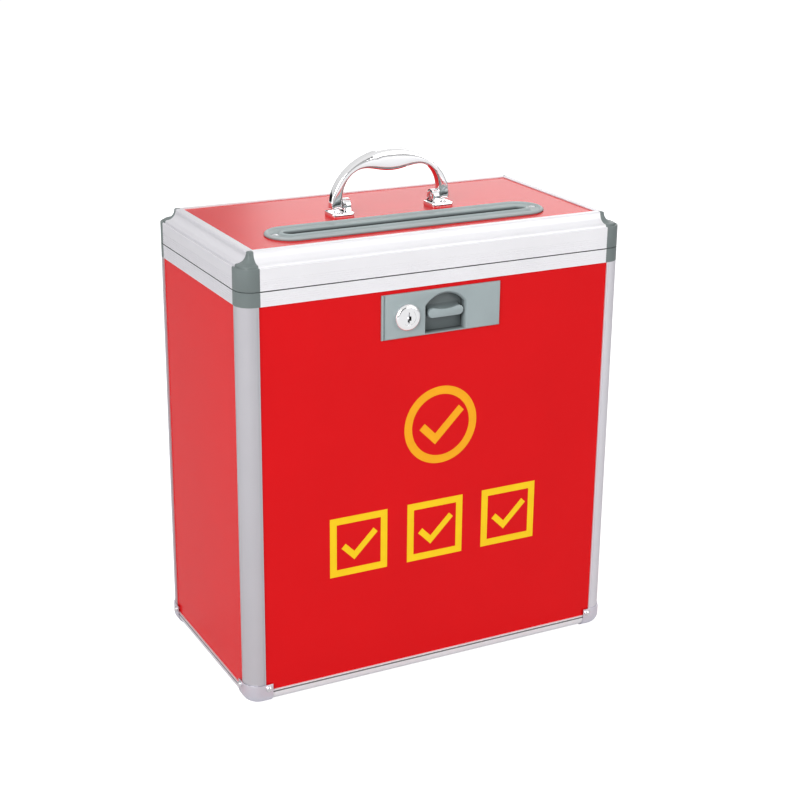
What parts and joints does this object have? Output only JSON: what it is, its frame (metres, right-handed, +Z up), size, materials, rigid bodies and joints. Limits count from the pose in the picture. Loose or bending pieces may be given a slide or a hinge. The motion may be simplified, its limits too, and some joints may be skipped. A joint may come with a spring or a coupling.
{
  "type": "lockable ballot box",
  "caption": "Upright red board box in an aluminium frame with a hinged, slotted lid, fold-down carrying handle, cylinder lock and snap latch.",
  "frame": {"origin": "on the ground under the middle of the box", "axes": "+X along the long side to the right as seen from the lock, +Y from the lock side to the hinge side, +Z up"},
  "size_m": [0.3766, 0.212, 0.464],
  "materials": {
    "red_board": "glossy laminated board",
    "extrusion": "fine satin anodised",
    "grey_plastic": "satin moulded grey",
    "chrome": "polished plate",
    "bright_fixing": "bright zinc",
    "steel": "zinc plated"
  },
  "bodies": {
    "case": {"front_panel": "red_board", "rear_panel": "red_board", "left_panel": "red_board", "right_panel": "red_board", "bottom_panel": "red_board", "post_front_left": "extrusion", "post_front_right": "extrusion", "post_rear_right": "extrusion", "post_rear_left": "extrusion", "bottom_rail_front": "extrusion", "bottom_rail_right": "extrusion", "bottom_rail_rear": "extrusion", "bottom_rail_left": "extrusion", "band_front": "extrusion", "band_right": "extrusion", "band_rear": "extrusion", "band_left": "extrusion", "body_cap_front_left": "grey_plastic", "body_cap_front_right": "grey_plastic", "body_cap_rear_right": "grey_plastic", "body_cap_rear_left": "grey_plastic", "metal_corner_front_left": "chrome", "metal_corner_front_right": "chrome", "metal_corner_rear_right": "chrome", "metal_corner_rear_left": "chrome", "body_rivets": "bright_fixing", "lock_housing": "grey_plastic", "lock_case": "grey_plastic", "lock_case_screws": "steel", "lock_barrel": "chrome", "lock_nut": "steel", "latch_pin": "steel", "latch_spring": "steel", "hinge_body_leaves": "steel", "hinge_pins": "steel"},
    "lid": {"lid_panel": "red_board", "lid_rail_front": "extrusion", "lid_rail_right": "extrusion", "lid_rail_rear": "extrusion", "lid_rail_left": "extrusion", "lid_cap_front_left": "grey_plastic", "lid_cap_front_right": "grey_plastic", "lid_cap_rear_right": "grey_plastic", "lid_cap_rear_left": "grey_plastic", "slot_frame": "grey_plastic", "lid_screws": "bright_fixing", "lid_nuts": "steel", "handle_foot_left": "chrome", "handle_foot_right": "chrome", "handle_pins": "steel", "strike_plate": "steel", "lid_rivets": "bright_fixing", "hinge_lid_leaves": "steel"},
    "handle": {"handle_grip": "chrome"},
    "lock_core": {"lock_plug": "chrome", "lock_cam": "steel", "cam_screw": "steel"},
    "button": {"latch_button": "grey_plastic"},
    "hook": {"latch_hook": "steel"}
  },
  "joints": [
    {"name": "lid_hinge", "type": "hinge", "parent": "case", "child": "lid", "pos_m": [0, 0.1028, 0.377], "axis": [-1, 0, 0], "range_deg": [0, 100]},
    {"name": "handle_fold", "type": "hinge", "parent": "lid", "child": "handle", "pos_m": [0, 0, 0.4171], "axis": [-1, 0, 0], "range_deg": [-86, 86]},
    {"name": "lock_turn", "type": "hinge", "parent": "case", "child": "lock_core", "pos_m": [-0.034, -0.1, 0.3398], "axis": [0, 1, 0], "range_deg": [0, 90]},
    {"name": "button_slide", "type": "slide", "parent": "case", "child": "button", "axis": [0, 0, -1], "range_m": [0, 0.008], "stiffness_N_per_m": 250, "springref_m": -0.004, "deforming": ["latch_spring"]},
    {"name": "hook_turn", "type": "hinge", "parent": "case", "child": "hook", "pos_m": [0.004, -0.0852, 0.3235], "axis": [-1, 0, 0], "range_deg": [0, 5]}
  ],
  "couplings": [
    {"joint": "hook_turn", "follows": "button_slide", "rad_per_m": 10.908}
  ]
}
